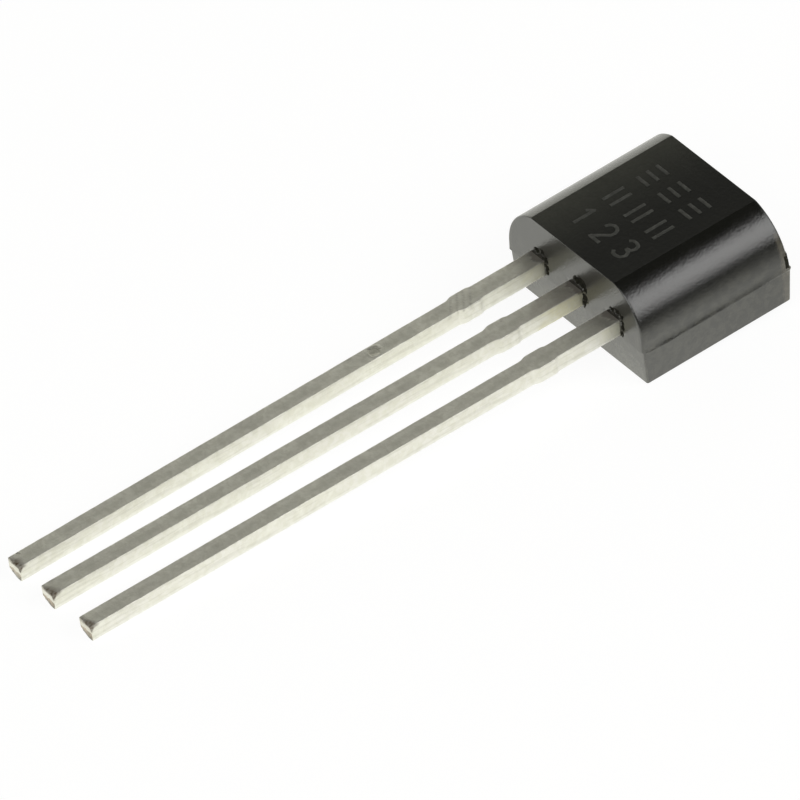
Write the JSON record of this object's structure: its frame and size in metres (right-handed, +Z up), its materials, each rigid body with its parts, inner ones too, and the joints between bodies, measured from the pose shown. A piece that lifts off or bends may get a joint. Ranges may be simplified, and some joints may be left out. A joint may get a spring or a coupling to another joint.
{
  "type": "through-hole transistor",
  "caption": "Small three-lead transistor: a flat in-line moulded case with round shoulders, straight rectangular leads, and a die bonded inside.",
  "frame": {"origin": "middle of the part's box, on the surface that it lies on", "axes": "+Z up, away from the surface; +Y from the lead tips towards the far end of the body; +X across the leads, from the collector lead towards the emitter lead. The part lies on the back face's edge at the lead end and on its lead tips, so its marked face and leads are 3.87 degrees off level, turned about X."},
  "size_m": [0.0046, 0.0174, 0.0025],
  "materials": {
    "epoxy": "black moulding compound, matte on the marked face and glossy elsewhere",
    "tinned_lead": "tin plate on copper, with drawing marks and bare copper at the cut tips",
    "solder": "dull solder",
    "silicon": "polished silicon with metal bond pads",
    "gold_wire": "smooth gold"
  },
  "bodies": {
    "root": {"moulded_body": "epoxy", "collector_lead": "tinned_lead", "base_lead": "tinned_lead", "emitter_lead": "tinned_lead", "die_solder": "solder", "silicon_die": "silicon", "base_wire": "gold_wire", "emitter_wire": "gold_wire"}
  },
  "joints": []
}
